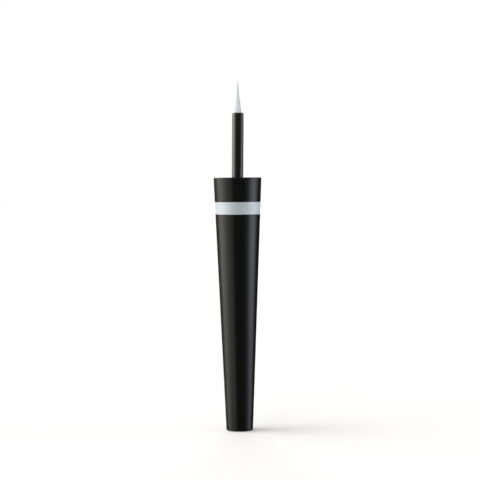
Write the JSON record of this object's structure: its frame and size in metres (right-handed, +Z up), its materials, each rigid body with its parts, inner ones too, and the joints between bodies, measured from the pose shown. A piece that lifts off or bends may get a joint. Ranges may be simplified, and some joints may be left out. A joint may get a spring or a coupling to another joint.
{
  "type": "liquid eyeliner applicator cap",
  "caption": "Long tapered cap that stands on its narrow end, with a flush pale band below its threaded mouth and a slim wand carrying a pointed felt tip.",
  "frame": {"origin": "centre of the foot, at the cap's narrow end, on the surface that it stands on", "axes": "+Z up along the axis from the foot to the tip; the outside is turned about +Z, so +X and +Y are alike"},
  "size_m": [0.0151, 0.015, 0.1106],
  "materials": {
    "outer_shell": "satin gloss black",
    "accent_band": "satin anodised, cool silver",
    "mouth_collar": "satin gloss black",
    "inner_cap": "moulded, matt black",
    "seal_washer": "soft white foam",
    "wand": "moulded, glossy black",
    "fibre_tip": "bonded fibre, pale grey",
    "cap_weight": "turned and plated"
  },
  "bodies": {
    "root": {"outer_shell": "outer_shell", "accent_band": "accent_band", "mouth_collar": "mouth_collar", "inner_cap": "inner_cap", "seal_washer": "seal_washer", "wand": "wand", "fibre_tip": "fibre_tip", "cap_weight": "cap_weight"}
  },
  "joints": []
}
